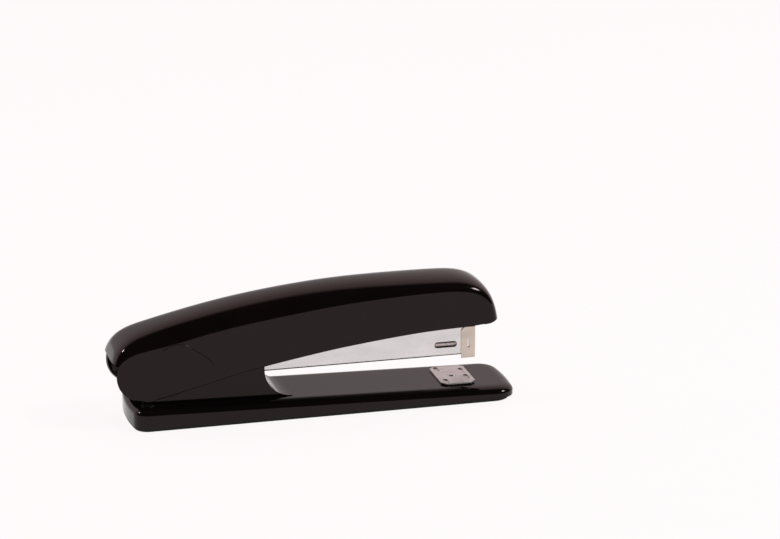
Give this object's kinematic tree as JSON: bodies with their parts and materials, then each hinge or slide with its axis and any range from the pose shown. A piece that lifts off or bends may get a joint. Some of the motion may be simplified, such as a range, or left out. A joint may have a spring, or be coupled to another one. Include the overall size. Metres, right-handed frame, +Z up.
{
  "type": "desktop stapler",
  "caption": "Full-strip desktop stapler with a glossy domed cover, steel magazine on a rear hinge, and a turning anvil on a flat base.",
  "frame": {"origin": "on the table, under the middle of the overall length", "axes": "+X to the nose, +Z up, Y across the width"},
  "size_m": [0.204, 0.0442, 0.0646],
  "materials": {
    "black_gloss": "polished black moulding",
    "black_satin": "satin black moulding",
    "magazine_steel": "bright rolled steel sheet",
    "nose_steel": "warm-toned rolled steel sheet",
    "anvil_steel": "stamped nickel-plated steel",
    "zinc_steel": "zinc-plated pressed steel",
    "spring_steel": "tempered spring steel",
    "screw_steel": "plated fastener steel",
    "staple_wire": "galvanised staple wire",
    "sole_rubber": "matt black rubber"
  },
  "bodies": {
    "base": {"base_shell": "black_gloss", "base_plate": "zinc_steel", "sole_pad": "sole_rubber", "base_screws": "screw_steel", "hinge_bracket": "zinc_steel", "lift_spring": "spring_steel", "bracket_rivets": "screw_steel", "hinge_pin": "screw_steel", "pin_clip": "spring_steel", "anvil_spring": "spring_steel"},
    "button": {"anvil_button": "black_satin"},
    "anvil": {"anvil_plate": "anvil_steel", "anvil_rivet": "screw_steel"},
    "magazine": {"magazine_channel": "magazine_steel", "nose_plate": "nose_steel", "staple_rail": "magazine_steel", "guide_rod": "screw_steel", "rod_block": "black_satin", "magazine_rivets": "screw_steel", "staple_strip": "staple_wire", "pusher_spring": "spring_steel"},
    "pusher": {"pusher": "black_satin"},
    "cover": {"cover_shell": "black_gloss", "handle_frame": "zinc_steel", "driver_blade": "spring_steel", "driver_rivets": "screw_steel", "cover_spring": "spring_steel", "leaf_rivets": "screw_steel", "cover_screws": "screw_steel"}
  },
  "joints": [
    {"name": "magazine_hinge", "type": "hinge", "parent": "base", "child": "magazine", "pos_m": [-0.08365, 0, 0.03], "axis": [0, -1, 0], "range_deg": [-3.6, 0], "stiffness_Nm_per_rad": 10, "springref_deg": 2.86, "deforming": ["lift_spring"]},
    {"name": "cover_hinge", "type": "hinge", "parent": "magazine", "child": "cover", "pos_m": [-0.08365, 0, 0.03], "axis": [0, -1, 0], "range_deg": [-3, 95], "stiffness_Nm_per_rad": 0.3, "springref_deg": 14.32, "deforming": ["cover_spring"]},
    {"name": "pusher_slide", "type": "slide", "parent": "magazine", "child": "pusher", "axis": [-1, 0, 0], "range_m": [0, 0.07], "stiffness_N_per_m": 30, "springref_m": -0.05, "deforming": ["pusher_spring"]},
    {"name": "anvil_lift", "type": "slide", "parent": "base", "child": "button", "axis": [0, 0, 1], "range_m": [0, 0.0015], "stiffness_N_per_m": 300, "springref_m": -0.002, "deforming": ["anvil_spring"]},
    {"name": "anvil_turn", "type": "hinge", "parent": "button", "child": "anvil", "pos_m": [0.07535, 0, 0.009], "axis": [0, 0, 1], "range_deg": [0, 180]}
  ]
}
